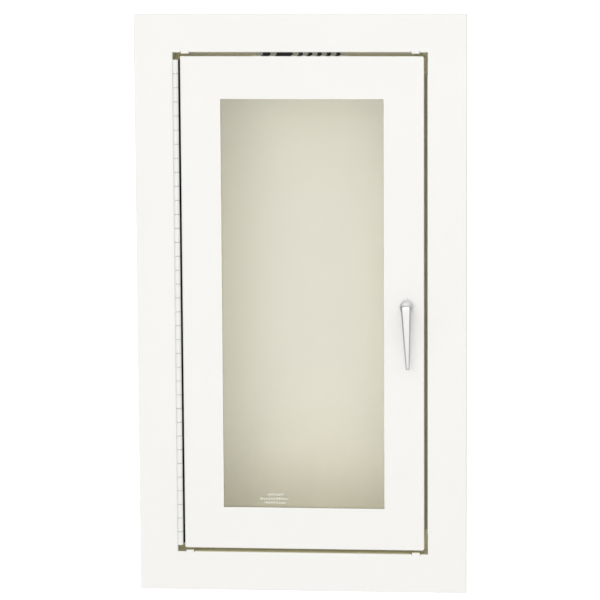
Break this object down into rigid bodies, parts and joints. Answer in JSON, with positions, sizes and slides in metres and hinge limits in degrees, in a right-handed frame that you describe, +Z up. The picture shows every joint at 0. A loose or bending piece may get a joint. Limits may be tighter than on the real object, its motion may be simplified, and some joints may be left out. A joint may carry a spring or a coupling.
{
  "type": "recessed fire extinguisher cabinet",
  "caption": "Recessed wall cabinet for a fire extinguisher: steel tub, flat trim and a window door on a continuous hinge, with a pull and a roller catch.",
  "frame": {"origin": "centre of the four fixing holes, on the outer face of the tub's back", "axes": "+X to the right seen from the front, +Y into the wall, +Z up"},
  "size_m": [0.299, 0.1519, 0.527],
  "materials": {
    "white_enamel": "smooth satin white enamel",
    "tub_enamel": "satin enamel on the inside",
    "zinc": "zinc-plated steel",
    "polished_zinc": "satin-polished plating",
    "window_glass": "clear float glass with a faint green edge",
    "foam": "closed-cell foam tape",
    "rubber": "soft rubber",
    "nylon": "moulded nylon",
    "spring_steel": "oiled spring wire",
    "label": "blank printed foil"
  },
  "bodies": {
    "cabinet": {"tub_shell": "tub_enamel", "tub_top": "tub_enamel", "tub_bottom": "tub_enamel", "tub_rivets": "tub_enamel", "trim_frame": "white_enamel", "stop_top": "white_enamel", "stop_bottom": "white_enamel", "stop_strike": "white_enamel", "rubber_bumpers": "rubber", "stop_label": "label", "hinge_frame_leaf": "white_enamel", "hinge_pin": "zinc", "frame_rivets": "white_enamel", "catch_bracket": "zinc", "catch_pivot_pins": "zinc", "bracket_screws": "zinc", "catch_springs": "spring_steel"},
    "door": {"door_panel": "white_enamel", "door_label": "label", "glass_pane": "window_glass", "glass_gasket": "foam", "retainer_left": "zinc", "retainer_right": "zinc", "retainer_bottom": "zinc", "retainer_top": "zinc", "weld_studs": "zinc", "retainer_nuts": "zinc", "hinge_door_leaf": "white_enamel", "door_rivets": "white_enamel", "pull_handle": "polished_zinc", "handle_washer": "zinc", "handle_screw": "zinc", "catch_spear": "zinc", "spear_screws": "zinc"},
    "upper_arm": {"upper_catch_arm": "zinc", "upper_roller_pin": "zinc"},
    "lower_arm": {"lower_catch_arm": "zinc", "lower_roller_pin": "zinc"},
    "upper_roller_body": {"upper_roller": "nylon"},
    "lower_roller_body": {"lower_roller": "nylon"}
  },
  "joints": [
    {"name": "door_swing", "type": "hinge", "parent": "cabinet", "child": "door", "pos_m": [-0.112, -0.136, 0], "axis": [0, 0, -1], "range_deg": [0, 170]},
    {"name": "upper_arm_swing", "type": "hinge", "parent": "cabinet", "child": "upper_arm", "pos_m": [0.098, -0.083, -0.036], "axis": [-1, 0, 0], "range_deg": [0, 14], "stiffness_Nm_per_rad": 0.3, "springref_deg": -17.19},
    {"name": "lower_arm_swing", "type": "hinge", "parent": "cabinet", "child": "lower_arm", "pos_m": [0.098, -0.083, -0.054], "axis": [1, 0, 0], "range_deg": [0, 14], "stiffness_Nm_per_rad": 0.3, "springref_deg": -17.19},
    {"name": "upper_roller_spin", "type": "hinge", "parent": "upper_arm", "child": "upper_roller_body", "pos_m": [0.098, -0.104, -0.0394], "axis": [1, 0, 0], "continuous": true},
    {"name": "lower_roller_spin", "type": "hinge", "parent": "lower_arm", "child": "lower_roller_body", "pos_m": [0.098, -0.104, -0.0506], "axis": [1, 0, 0], "continuous": true}
  ]
}
